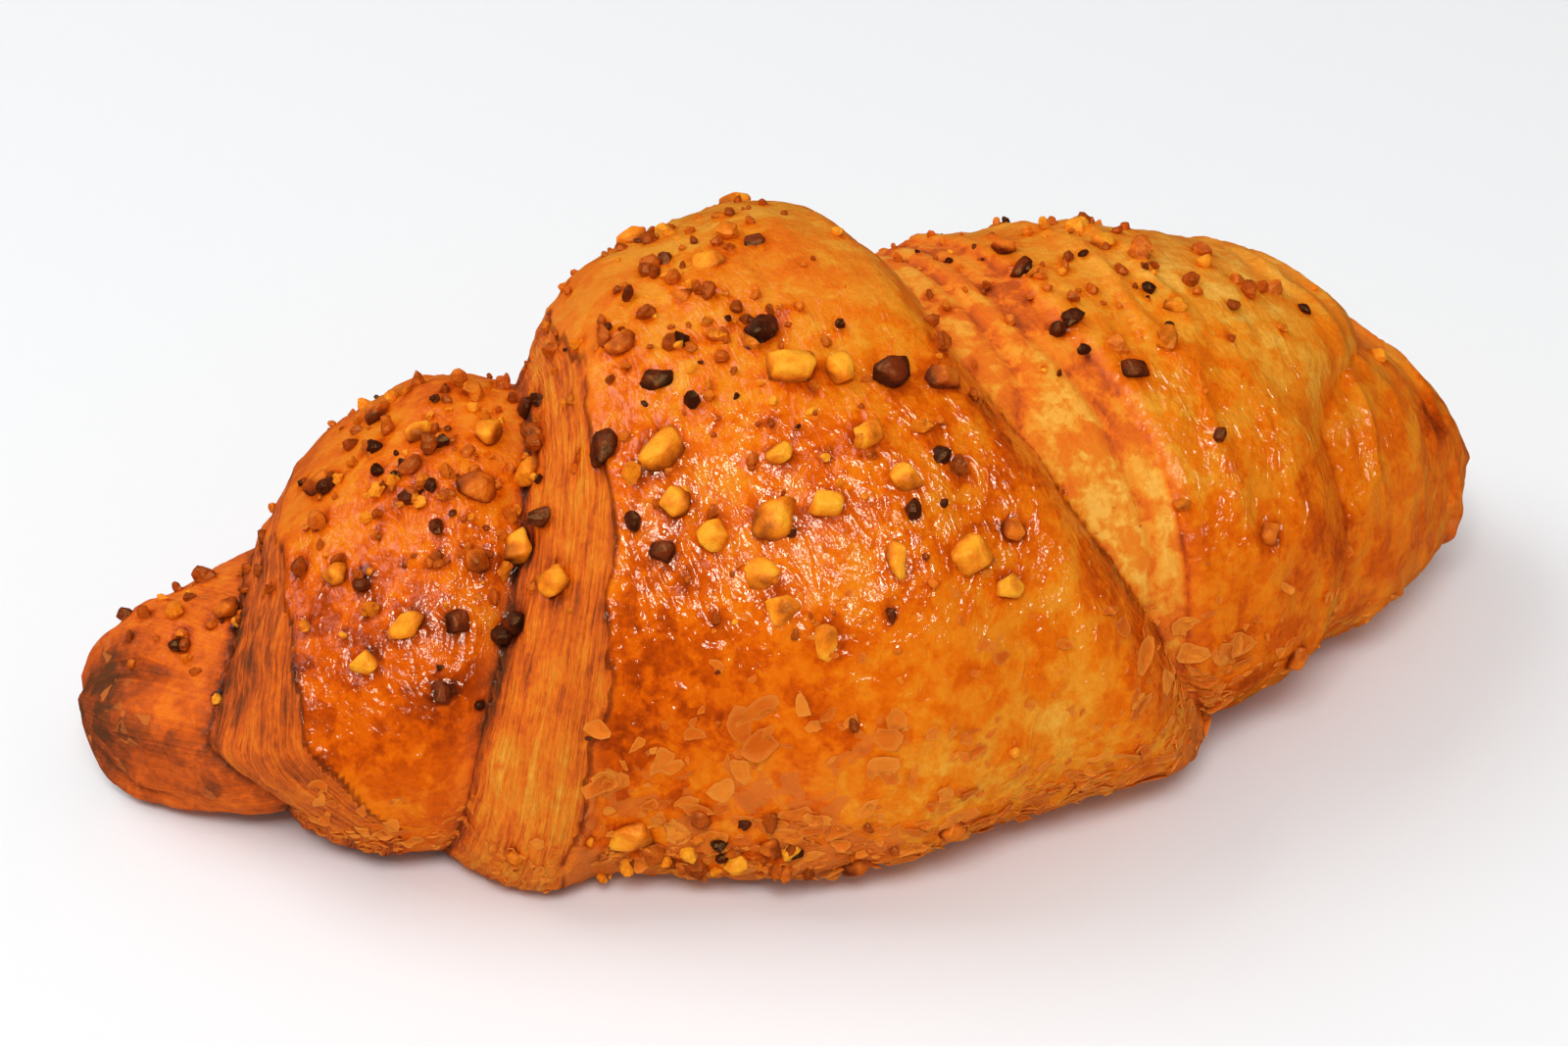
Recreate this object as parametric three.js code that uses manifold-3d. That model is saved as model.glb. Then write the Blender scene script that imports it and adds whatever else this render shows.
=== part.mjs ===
// A baked croissant with chopped hazelnuts pressed into its crust.
// Units are millimetres. +X runs from the slim pinched end to the fuller end,
// the two ends curl towards +Y, and +Z is up. The croissant rests on z = 0.
import * as THREE from 'three';
import { ConvexGeometry } from 'three/addons/geometries/ConvexGeometry.js';
import { mergeVertices } from 'three/addons/utils/BufferGeometryUtils.js';
import Module from 'manifold-3d';

// ---- driving dimensions ----------------------------------------------------

const BEND_RADIUS = 280;      // radius of the curved axis the dough is rolled along
const LEFT_END = -85.7;        // where the slim end stops, measured along the axis
const RIGHT_END = 92.5;       // where the fuller end stops
const LEFT_CAP = 9;           // length of the rounding at the slim end
const RIGHT_CAP = 12;         // length of the rounding at the fuller end
const LEFT_LIFT = 2.5;        // height of the slim end above the table
const RIGHT_LIFT = 6.5;       // height of the fuller end above the table

// Stations of the innermost roll: distance along the axis, crown height, half width.
const STATIONS = [
  [-86, 15, 11],
  [-77, 17, 14],
  [-66, 22, 20],
  [-54, 32, 23],
  [-42, 38.5, 25.5],
  [-26, 40, 20.5],
  [0, 49, 34],
  [16, 50, 34.5],
  [30, 49, 33.5],
  [44, 47, 31],
  [58, 42, 27],
  [72, 33.5, 22.5],
  [84, 24, 15.5],
  [92, 16.5, 11],
];

const WAIST = 0.44;           // share of the height where a section is widest
const SAG = 1.1;              // how much the underside would hang below the table
const UPPER_ROUNDNESS = 2.1;  // exponent of the section above its widest line
const LOWER_ROUNDNESS = 2.6;  // exponent of the section below its widest line

const OUTER_WRAP = 10;        // rise of the outermost wrap over the one below, slim side
const OUTER_WRAP_THIN = 6;    // the same on the fuller side
const MIDDLE_WRAP = 6.5;      // rise of the middle wrap over the inner roll, slim side
const MIDDLE_WRAP_THIN = 3;   // the same on the fuller side
const SKIN_STEP = 1.2;        // step up from the open seam to the browned skin beyond it

const ROWS = 88;              // sections along the dough
const COLUMNS = 48;           // facets round a section

const SEAT_GAP = 0.4;         // clearance between a nut and the pocket it sits in
const CHUNK_CORNERS = 11;     // corners of one chopped nut
const NUT_SINK = 0.3;         // share of a nut's half thickness that its middle stands proud

const NUT_COLOURS = { golden: 0xd9962f, brown: 0x9c5322, dark: 0x40211a };

// Nuts: kind, place along the axis, angle round the axis (0 front, 90 top, 180 back),
// length, width, and the turn of the long side away from the axis in degrees.
const NUTS = [
  ['golden', -9, 93, 4.8, 3.8, 0],
  ['golden', -5.5, 67.5, 6.2, 4.8, 0],
  ['golden', -0.5, 66, 4, 3.4, 90],
  ['golden', 0, 54, 5, 3.4, 50],
  ['golden', -9, 53, 3.5, 3.1, 0],
  ['golden', 2.5, 46, 4.8, 3.5, -50],
  ['golden', -19.5, 47.5, 4.3, 3.6, 20],
  ['golden', -16.5, 41, 4.5, 4, 0],
  ['golden', -10.5, 42.5, 6.5, 5, 15],
  ['golden', -5.5, 44, 4.6, 3.8, 10],
  ['golden', -12.5, 34.5, 5.2, 4, 0],
  ['golden', -11, 28.5, 4.4, 3.8, 0],
  ['golden', -7.5, 23, 6, 3, 85],
  ['golden', 0, 34, 5, 2.8, 80],
  ['golden', 7.5, 32.5, 6, 4.4, 30],
  ['golden', 11, 26, 3.8, 3.2, 0],
  ['golden', -20, 56.5, 5.8, 5, 30],
  ['golden', -26.5, -11, 5.8, 3.8, 10],
  ['brown', -13.5, 87, 3, 2.6, 0],
  ['brown', -21.5, 80, 4.2, 3.4, 0],
  ['brown', 10, 62, 4.2, 3.6, 0],
  ['brown', 12.5, 35, 3.2, 2.9, 0],
  ['brown', -13, -15, 4, 3, 0],
  ['brown', -4.5, -28, 4, 3.3, 60],
  ['brown', 4.5, -18, 3.7, 3, 0],
  ['dark', -3, 96, 3.2, 2.6, 0],
  ['dark', -7, 75.5, 4.4, 3.8, 20],
  ['dark', 4.5, 64, 4.8, 4, 0],
  ['dark', -19, 70, 4.4, 2.8, 0],
  ['dark', -25.5, 60, 5.2, 3.8, 80],
  ['dark', -21.5, 39.5, 3.2, 3, 0],
  ['dark', -31, 91, 3.2, 3, 0],
  ['golden', -36.5, 83, 4.3, 3.6, 80],
  ['golden', -44, 88, 3.8, 2.8, 0],
  ['brown', -48.5, 104, 3.6, 3.2, 0],
  ['brown', -55.5, 89, 4.2, 3.4, 0],
  ['brown', -38.5, 67, 5, 4.4, 0],
  ['golden', -32.5, 68, 4.3, 3.6, 30],
  ['golden', -34.5, 50, 5, 4, 70],
  ['golden', -32, 39, 4.1, 3.8, 0],
  ['dark', -36, 33, 3.2, 3, 0],
  ['brown', -39.5, 50, 3.4, 3, 0],
  ['golden', -54, 58, 3.7, 2.9, 0],
  ['golden', -47, 39.5, 5.4, 3, 10],
  ['golden', -51.5, 33.5, 3.8, 3.2, 0],
  ['dark', -42, 37.5, 3.2, 3, 0],
  ['brown', -67.5, 87, 3.4, 3, 0],
  ['brown', 30.5, 102, 3.6, 2.6, 0],
  ['dark', 30, 93, 4, 2.4, 20],
  ['dark', 34, 61.5, 3.6, 2.9, 0],
  ['golden', 43.5, 74.5, 3.7, 2.9, 0],
  ['golden', 43, 99, 3.7, 3, 0],
  ['brown', 43.5, 21, 3.2, 3, 0],
  ['brown', 48, -12, 3.8, 3, 70],
  ['golden', 2, 128, 4.6, 3.4, 20],
  ['golden', -14, 122, 4.2, 3.4, -30],
  ['dark', -9, 142, 3.6, 3, 0],
  ['golden', 40, 132, 4, 3, 40],
];

// ---- shape of the baked dough ----------------------------------------------

const radians = THREE.MathUtils.degToRad;
const clamp = THREE.MathUtils.clamp;
const mix = THREE.MathUtils.lerp;
const ease = (from, to, value) => THREE.MathUtils.smoothstep(value, from, to);

// Smooth curve through one column of the stations.
function stationValue(column, along) {
  const last = STATIONS.length - 1;
  const place = clamp(along, STATIONS[0][0], STATIONS[last][0]);
  let i = 0;
  while (i < last - 1 && place > STATIONS[i + 1][0]) {
    i += 1;
  }
  const slopeAt = (k) => {
    const before = STATIONS[Math.max(k - 1, 0)];
    const after = STATIONS[Math.min(k + 1, last)];
    return (after[column] - before[column]) / (after[0] - before[0]);
  };
  const width = STATIONS[i + 1][0] - STATIONS[i][0];
  const s = (place - STATIONS[i][0]) / width;
  const start = STATIONS[i][column];
  const stop = STATIONS[i + 1][column];
  const slopes = s * (1 - s) * width * ((1 - s) * slopeAt(i) - s * slopeAt(i + 1));
  return start + (stop - start) * s * s * (3 - 2 * s) + slopes;
}

// Quarter-ellipse rounding of both ends, 0 at the very end and 1 on the body.
function endRounding(along) {
  const left = clamp((along - LEFT_END) / LEFT_CAP, 0, 1);
  const right = clamp((RIGHT_END - along) / RIGHT_CAP, 0, 1);
  return Math.sqrt((1 - (1 - left) ** 2) * (1 - (1 - right) ** 2));
}

// Position round a section as a share of half a turn: 0 top, 1 bottom over the
// front, -1 bottom over the back.
function turnOf(angle) {
  const turn = 0.5 - angle / Math.PI;
  return ((turn + 1) % 2 + 2) % 2 - 1;
}

// Edges of the rolled-up triangle. The outer wrap widens towards the front and
// narrows towards the back, where the point of the triangle is tucked under.
function outerLeftEdge(turn) {
  return -31.5 - (turn > 0 ? 18 : 6) * turn + 0.8 * Math.sin(9 * turn);
}
function outerRightEdge(turn) {
  const sweep = turn > 0.05 ? 27 * ease(0.05, 0.85, turn) : 6 * Math.min(turn, 0);
  return 15.5 + sweep + 0.7 * Math.sin(8 * turn);
}
function middleLeftEdge(turn) {
  return -49 - 17 * Math.sqrt(clamp(1 + turn, 0, 2)) + 10 * ease(0.38, 0.62, turn);
}
function middleRightEdge(turn) {
  return turn > 0
    ? 77 - 20 * ease(0, 0.3, turn) - 16 * ease(0.45, 1, turn)
    : 77 - 34 * Math.abs(turn) ** 1.3;
}

// Far side of the seam that opened beside the outer wrap as the dough rose. The
// browned skin of the middle wrap starts there, with a small step up.
function seamFarSide(turn) {
  return turn > 0 ? 28.5 + 4.5 * ease(0, 0.3, turn) : 28.5 + 14 * turn;
}

// Rounded shoulder of a wrap, climbing to 1 over the given width.
const shoulder = (inside, width) => Math.sin(Math.PI / 2 * clamp(inside / width, 0, 1));

// Crease pressed in along the foot of a wrap, wide outside the edge and narrow inside.
function crease(inside, depth, outerWidth, innerWidth) {
  return -depth * Math.exp(inside < 0 ? inside / outerWidth : -inside / innerWidth);
}

// Thickness that the middle and outer wraps add over the inner roll.
function wrapThickness(along, angle) {
  const turn = turnOf(angle);
  const side = ease(-25, 20, along);
  const outerLeft = along - outerLeftEdge(turn);
  const outerRight = outerRightEdge(turn) - along;
  const middleLeft = along - middleLeftEdge(turn);
  const middleRight = middleRightEdge(turn) - along;
  const tucked = (1 - 0.55 * ease(0.35, 1, -turn)) * (1 - 0.5 * ease(0.6, 1, turn));
  const outer = mix(OUTER_WRAP, OUTER_WRAP_THIN, side) * tucked
    * shoulder(outerLeft, 12) * shoulder(outerRight, 7.5);
  const middle = mix(MIDDLE_WRAP, MIDDLE_WRAP_THIN, side)
    * shoulder(middleLeft, 9) * shoulder(middleRight, 6);
  return outer + middle
    + crease(outerLeft, 1.6, 4, 1.5)
    + crease(outerRight, 1.2, 5, 1.5)
    + crease(middleLeft, 1.3, 3, 3)
    + crease(middleRight, 0.6, 2.5, 2.5)
    + SKIN_STEP * ease(-1, -0.7, turn) * (1 - ease(0.5, 0.75, turn))
      * ease(0, 2, along - Math.max(seamFarSide(turn), outerRightEdge(turn) + 1));
}

// Point of the baked surface. The section is a rounded shape, widest below half
// height, whose underside is pressed flat where it would sink below the table.
function doughPoint(along, angle) {
  const height = stationValue(1, along);
  const halfWidth = stationValue(2, along);
  const rounding = endRounding(along);
  const lift = along < 0
    ? LEFT_LIFT * (along / LEFT_END) ** 3
    : RIGHT_LIFT * (along / RIGHT_END) ** 3;
  const wraps = wrapThickness(along, angle) * ease(0, 0.6, rounding);
  const half = WAIST * height;
  const sine = Math.sin(angle);
  const cosine = Math.cos(angle);
  const roundness = sine > 0 ? UPPER_ROUNDNESS : LOWER_ROUNDNESS;
  const reach = (halfWidth * rounding + wraps) * Math.abs(cosine) ** (2 / roundness);
  const side = -Math.sign(cosine) * reach;
  const rise = sine > 0
    ? (height - half) * rounding + wraps
    : -(SAG * half * rounding + 0.3 * wraps);
  const z = lift + half + rise * Math.abs(sine) ** (2 / roundness);
  const bend = along / BEND_RADIUS;
  return new THREE.Vector3(
    (BEND_RADIUS - side) * Math.sin(bend),
    BEND_RADIUS * (1 - Math.cos(bend)) + side * Math.cos(bend),
    Math.max(z, 0),
  );
}

// Closed skin through all sections, with one point at each end.
function doughGeometry() {
  const points = [doughPoint(LEFT_END, 0)];
  for (let row = 1; row < ROWS; row += 1) {
    // Sections stand closer together towards the two rounded ends.
    const even = row / ROWS;
    const share = even - 0.06 * Math.sin(2 * Math.PI * even);
    const along = mix(LEFT_END, RIGHT_END, share);
    for (let column = 0; column < COLUMNS; column += 1) {
      points.push(doughPoint(along, 2 * Math.PI * (column + 0.5) / COLUMNS));
    }
  }
  points.push(doughPoint(RIGHT_END, 0));
  const at = (row, column) => 1 + (row - 1) * COLUMNS + column % COLUMNS;
  const faces = [];
  for (let column = 0; column < COLUMNS; column += 1) {
    faces.push(0, at(1, column), at(1, column + 1));
    faces.push(points.length - 1, at(ROWS - 1, column + 1), at(ROWS - 1, column));
    for (let row = 1; row < ROWS - 1; row += 1) {
      faces.push(at(row, column), at(row + 1, column), at(row, column + 1));
      faces.push(at(row, column + 1), at(row + 1, column), at(row + 1, column + 1));
    }
  }
  const geometry = new THREE.BufferGeometry().setFromPoints(points);
  geometry.setIndex(faces);
  return geometry;
}

// ---- chopped nuts ----------------------------------------------------------

// Repeatable number from 0 to 1 for a nut and one of its corners.
function scatter(nut, corner) {
  const value = Math.sin(nut * 12.9898 + corner * 78.233) * 43758.5453;
  return value - Math.floor(value);
}

// Corners of one chunk in units of its half sizes: a blunt block with every
// corner cut at a different depth.
function chunkCorners(nut) {
  const corners = [];
  for (let k = 0; k < CHUNK_CORNERS; k += 1) {
    const z = 1 - (2 * k + 1) / CHUNK_CORNERS;
    const spread = Math.sqrt(1 - z * z);
    const around = k * 2.4 + 1.1 * scatter(nut, k) + nut;
    const direction = new THREE.Vector3(
      spread * Math.cos(around), spread * Math.sin(around), z);
    const blockiness = 1 / (Math.abs(direction.x) ** 3 + Math.abs(direction.y) ** 3
      + Math.abs(direction.z) ** 3) ** (1 / 3);
    corners.push(direction.multiplyScalar(blockiness * (0.9 + 0.2 * scatter(nut, k + 20))));
  }
  return corners;
}

// One chunk seated on the crust, its half sizes grown by the given margin.
function chunkGeometry(index, margin) {
  const [, along, degrees, length, width, spin] = NUTS[index];
  const angle = radians(degrees);
  const thickness = 0.8 * width;
  const centre = doughPoint(along, angle);
  const step = 0.02;
  const lengthwise = doughPoint(along + step * 40, angle)
    .sub(doughPoint(along - step * 40, angle)).normalize();
  const crosswise = doughPoint(along, angle + step).sub(doughPoint(along, angle - step));
  const outward = lengthwise.clone().cross(crosswise).normalize();
  centre.addScaledVector(outward, NUT_SINK * thickness / 2);
  const long = lengthwise.clone().applyAxisAngle(outward, radians(spin));
  const short = outward.clone().cross(long);
  const placement = new THREE.Matrix4().makeBasis(long, short, outward).setPosition(centre);
  const halves = new THREE.Vector3(length, width, thickness).multiplyScalar(0.5)
    .addScalar(margin);
  const corners = chunkCorners(index).map((c) => c.multiply(halves).applyMatrix4(placement));
  return new ConvexGeometry(corners);
}

// ---- solids ----------------------------------------------------------------

const wasm = await Module();
wasm.setup();

function toSolid(geometry) {
  const plain = geometry.clone();
  plain.deleteAttribute('normal');
  plain.deleteAttribute('uv');
  const merged = mergeVertices(plain, 1e-4);
  return new wasm.Manifold(new wasm.Mesh({
    numProp: 3,
    vertProperties: new Float32Array(merged.attributes.position.array),
    triVerts: new Uint32Array(merged.index.array),
  }));
}

function toGeometry(solid) {
  const mesh = solid.getMesh();
  const geometry = new THREE.BufferGeometry();
  geometry.setAttribute('position', new THREE.BufferAttribute(mesh.vertProperties, 3));
  geometry.setIndex(new THREE.BufferAttribute(mesh.triVerts, 1));
  return geometry;
}

function piece(name, geometry, colour, roughness) {
  const material = new THREE.MeshStandardMaterial({ color: colour, roughness, metalness: 0 });
  const mesh = new THREE.Mesh(geometry, material);
  mesh.name = name;
  return mesh;
}

// The crust has a pocket under every nut, as the dough rose round them in the oven.
let dough = toSolid(doughGeometry());
NUTS.forEach((nut, index) => {
  dough = dough.subtract(toSolid(chunkGeometry(index, SEAT_GAP)));
});

const croissant = new THREE.Group();
croissant.name = 'nut_croissant';
croissant.add(piece('dough', toGeometry(dough), 0xc8702a, 0.35));
NUTS.forEach((nut, index) => {
  const name = `nut_${nut[0]}_${String(index + 1).padStart(2, '0')}`;
  croissant.add(piece(name, chunkGeometry(index, 0), NUT_COLOURS[nut[0]], 0.5));
});

// The origin is the middle of the footprint, on the table.
const box = new THREE.Box3().setFromObject(croissant);
const middle = box.getCenter(new THREE.Vector3());
croissant.children.forEach((mesh) => {
  mesh.geometry.translate(-middle.x, -middle.y, -box.min.z);
});

export default croissant;
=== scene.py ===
"""A baked croissant with chopped hazelnuts pressed into its crust.

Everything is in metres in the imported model's frame: +X runs from the slim pinched end
to the fuller end, the ends curl towards +Y, +Z is up and the table top is z = 0.
"""
import math

import bpy
import numpy as np
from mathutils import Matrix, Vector


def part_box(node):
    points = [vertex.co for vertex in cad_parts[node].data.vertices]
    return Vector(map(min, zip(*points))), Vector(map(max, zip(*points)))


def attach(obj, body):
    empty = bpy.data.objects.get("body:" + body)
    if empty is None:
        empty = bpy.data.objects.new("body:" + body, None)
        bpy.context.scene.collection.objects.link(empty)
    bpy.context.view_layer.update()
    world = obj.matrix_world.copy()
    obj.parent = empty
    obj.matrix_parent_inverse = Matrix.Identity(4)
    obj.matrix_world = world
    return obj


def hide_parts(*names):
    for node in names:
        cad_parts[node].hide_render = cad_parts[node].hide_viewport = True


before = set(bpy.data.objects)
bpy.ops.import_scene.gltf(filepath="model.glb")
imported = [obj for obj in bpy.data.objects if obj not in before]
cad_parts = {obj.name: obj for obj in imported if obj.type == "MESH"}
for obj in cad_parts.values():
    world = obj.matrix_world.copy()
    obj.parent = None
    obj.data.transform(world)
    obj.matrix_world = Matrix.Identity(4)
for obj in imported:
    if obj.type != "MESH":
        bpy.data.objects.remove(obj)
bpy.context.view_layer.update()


# ---------------------------------------------------------------------------
# Camera, table and light. The croissant lies on a plain pale table top between two
# soft panels in an even bright room. A third panel shows only as glints in the glaze.

CAMERA_AZIMUTH = math.radians(-17.0)
CAMERA_ELEVATION = math.radians(33.0)
CAMERA_DISTANCE = 0.470
CAMERA_LENS = 90.0
CAMERA_TARGET = Vector((-0.0048, 0.0003, 0.0220))
CAMERA_SHIFT = (0.0024, 0.0166)
ROOM_BRIGHTNESS = 0.43
PANEL_TARGET = Vector((0, 0, 0.02))
FRONT_PLACE, BACK_PLACE = (-0.35, -0.96, 1.23), (-0.90, 0.62, 1.28)
FRONT_WATTS, BACK_WATTS, GLEAM_WATTS = 14.6, 12.2, 84.0
TABLE_REACH = 3.0


def linear(hex_colour):
    """Turns an sRGB hex colour such as "#D97A1E" into linear red, green, blue and alpha."""
    parts = [int(hex_colour[i:i + 2], 16) / 255 for i in (1, 3, 5)]
    return tuple(c / 12.92 if c <= 0.04045 else ((c + 0.055) / 1.055) ** 2.4 for c in parts) + (1.0,)


def add_node(tree, kind, settings=None, links=None):
    """Adds one shader node. Settings with a known attribute name are attributes, the rest
    are input sockets. Links map an input socket to the output socket that feeds it, or to a
    node that feeds it with its first output."""
    node = tree.nodes.new("ShaderNode" + kind)
    for name, value in (settings or {}).items():
        if isinstance(name, str) and hasattr(node, name):
            setattr(node, name, value)
        else:
            node.inputs[name].default_value = value
    for name, source in (links or {}).items():
        if isinstance(source, bpy.types.Node):
            source = source.outputs[0]
        tree.links.new(source, node.inputs[name])
    return node


def new_material(name):
    """Makes an empty node material and returns it with its tree and output node."""
    material = bpy.data.materials.new(name)
    material.use_nodes = True
    material.node_tree.nodes.clear()
    return material, material.node_tree, add_node(material.node_tree, "OutputMaterial")


def add_panel(name, position, size, watts, colour):
    """Adds a rectangular area light at position, turned to face the croissant."""
    light = bpy.data.lights.new(name, "AREA")
    light.shape = "RECTANGLE"
    light.size, light.size_y = size
    light.energy = watts
    light.color = linear(colour)[:3]
    holder = bpy.data.objects.new(name, light)
    holder.location = position
    aim = PANEL_TARGET - Vector(position)
    holder.rotation_euler = aim.to_track_quat("-Z", "Y").to_euler()
    bpy.context.collection.objects.link(holder)
    return holder


camera_back = Vector((
    math.sin(CAMERA_AZIMUTH) * math.cos(CAMERA_ELEVATION),
    -math.cos(CAMERA_AZIMUTH) * math.cos(CAMERA_ELEVATION),
    math.sin(CAMERA_ELEVATION),
))
camera = bpy.data.objects.new("camera", bpy.data.cameras.new("camera"))
camera.data.lens = CAMERA_LENS
camera.data.sensor_width = 36.0
camera.data.shift_x, camera.data.shift_y = CAMERA_SHIFT
camera.data.clip_start = 0.01
camera.data.clip_end = 20.0
camera.location = CAMERA_TARGET + camera_back * CAMERA_DISTANCE
camera.rotation_mode = "QUATERNION"
camera.rotation_quaternion = (-camera_back).to_track_quat("-Z", "Y")
bpy.context.collection.objects.link(camera)
bpy.context.scene.camera = camera

world = bpy.data.worlds.new("bright room")
bpy.context.scene.world = world
world.use_nodes = True
world.node_tree.nodes["Background"].inputs["Color"].default_value = linear("#FBFAF8")
world.node_tree.nodes["Background"].inputs["Strength"].default_value = ROOM_BRIGHTNESS
world.cycles_visibility.glossy = False
bpy.context.scene.view_settings.view_transform = "Standard"

front_panel = add_panel("front_panel", FRONT_PLACE, (0.66, 0.42), FRONT_WATTS, "#FCFCFF")
front_panel.visible_glossy = False
add_panel("back_panel", BACK_PLACE, (1.3, 1.0), BACK_WATTS, "#FFFFFF")
gleam_panel = add_panel("gleam_panel", FRONT_PLACE, (1.2, 0.60), GLEAM_WATTS, "#FCFAE4")
gleam_panel.visible_diffuse = False

# Matt white laminate: light spreads evenly and shows only soft contact shadows.
laminate, tree, output = new_material("white_laminate")
surface = add_node(tree, "BsdfPrincipled", {
    "Base Color": linear("#EEF0F1"), "Roughness": 0.75, "Specular IOR Level": 0.2})
tree.links.new(surface.outputs["BSDF"], output.inputs["Surface"])
table_mesh = bpy.data.meshes.new("table_top")
table_corners = [(x * TABLE_REACH, y * TABLE_REACH, 0) for x, y in ((-1, -1), (1, -1), (1, 1), (-1, 1))]
table_mesh.from_pydata(table_corners, [], [(0, 1, 2, 3)])
table_top = bpy.data.objects.new("table_top", table_mesh)
table_top.data.materials.append(laminate)
bpy.context.collection.objects.link(table_top)
table_top.visible_glossy = False


# ---------------------------------------------------------------------------
# The baked dough: one long triangle of laminated dough rolled up from its base,
# so each wrap ends in a spiral edge. Brushed with egg and baked until the skin
# went glossy red-brown; the cut edges stayed layered and the seams stayed pale.

MM = 0.001
BEND_RADIUS = 280.0
LEFT_END, RIGHT_END = -85.7, 92.5
LEFT_CAP, RIGHT_CAP = 9.0, 12.0
LEFT_LIFT, RIGHT_LIFT = 2.5, 6.5
STATIONS = np.array([
    [-86, 15, 11], [-77, 17, 14], [-66, 22, 20], [-54, 32, 23], [-42, 38.5, 25.5],
    [-26, 40, 20.5], [0, 49, 34], [16, 50, 34.5], [30, 49, 33.5], [44, 47, 31],
    [58, 42, 27], [72, 33.5, 22.5], [84, 24, 15.5], [92, 16.5, 11],
])
WAIST, SAG = 0.44, 1.1
UPPER_ROUNDNESS, LOWER_ROUNDNESS = 2.1, 2.6
SKIN_STEP = 1.2
ROWS, COLUMNS = 376, 262
UV_PER_MM = 0.01
PLATE_BEND = 0.0022
random = np.random.default_rng(7)


def ease(start, stop, value):
    """0 before start, 1 after stop, and the cubic 3t^2 - 2t^3 between them."""
    t = np.clip((value - start) / (stop - start), 0, 1)
    return t * t * (3 - 2 * t)


def station_value(column, along):
    """Cubic curve through one column of the stations, each slope the chord of its neighbours."""
    places, values = STATIONS[:, 0], STATIONS[:, column]
    order = np.arange(len(places))
    before, after = np.maximum(order - 1, 0), np.minimum(order + 1, len(places) - 1)
    slopes = (values[after] - values[before]) / (places[after] - places[before])
    place = np.clip(along, places[0], places[-1])
    i = np.clip(np.searchsorted(places, place) - 1, 0, len(places) - 2)
    width = places[i + 1] - places[i]
    s = (place - places[i]) / width
    bulge = s * (1 - s) * width * ((1 - s) * slopes[i] - s * slopes[i + 1])
    return values[i] + (values[i + 1] - values[i]) * s * s * (3 - 2 * s) + bulge


def turn_of(angle):
    """Share of half a turn round the roll: 0 top, 1 under the front, -1 under the back."""
    return (0.5 - angle / np.pi + 1) % 2 - 1


def wrap_insides(along, turn):
    """Millimetres inside the left and right edge of the outer wrap, then of the middle one,
    then past the far side of the open seam. Each edge is a spiral: a start on the crown
    plus a sweep that grows with the turn."""
    outer_left = along - (-31.5 - np.where(turn > 0, 18, 6) * turn + 0.8 * np.sin(9 * turn))
    sweep = np.where(turn > 0.05, 27 * ease(0.05, 0.85, turn), 6 * np.minimum(turn, 0))
    right_edge = 15.5 + sweep + 0.7 * np.sin(8 * turn)
    middle_left = along - (-49 - 17 * np.sqrt(np.clip(1 + turn, 0, 2)) + 10 * ease(0.38, 0.62, turn))
    middle_right = np.where(
        turn > 0, 77 - 20 * ease(0, 0.3, turn) - 16 * ease(0.45, 1, turn),
        77 - 34 * np.abs(turn) ** 1.3) - along
    far_side = np.where(turn > 0, 28.5 + 4.5 * ease(0, 0.3, turn), 28.5 + 14 * turn)
    past_seam = along - np.maximum(far_side, right_edge + 1)
    return outer_left, right_edge - along, middle_left, middle_right, past_seam


def shoulder(inside, width):
    """Quarter sine wave that climbs from 0 at the edge to 1 at the given width inside it."""
    return np.sin(np.pi / 2 * np.clip(inside / width, 0, 1))


def crease(inside, depth, outer_width, inner_width):
    """Groove along an edge: falls off exponentially, at its own rate on each side."""
    fall = np.where(inside < 0, inside / outer_width, -inside / inner_width)
    return -depth * np.exp(np.minimum(fall, 0))


def wrap_thickness(along, turn):
    """Rise of the outer and middle wraps over the inner roll, less the creases at their feet,
    plus the step up to the skin past the open seam."""
    outer_left, outer_right, middle_left, middle_right, past_seam = wrap_insides(along, turn)
    side = ease(-25, 20, along)
    tucked = (1 - 0.55 * ease(0.35, 1, -turn)) * (1 - 0.5 * ease(0.6, 1, turn))
    outer = (10 - 4 * side) * tucked * shoulder(outer_left, 12) * shoulder(outer_right, 7.5)
    middle = (6.5 - 3.5 * side) * shoulder(middle_left, 9) * shoulder(middle_right, 6)
    skin_step = SKIN_STEP * ease(-1, -0.7, turn) * (1 - ease(0.5, 0.75, turn)) * ease(0, 2, past_seam)
    return (outer + middle + skin_step + crease(outer_left, 1.6, 4, 1.5)
            + crease(outer_right, 1.2, 5, 1.5) + crease(middle_left, 1.3, 3, 3)
            + crease(middle_right, 0.6, 2.5, 2.5))


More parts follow.
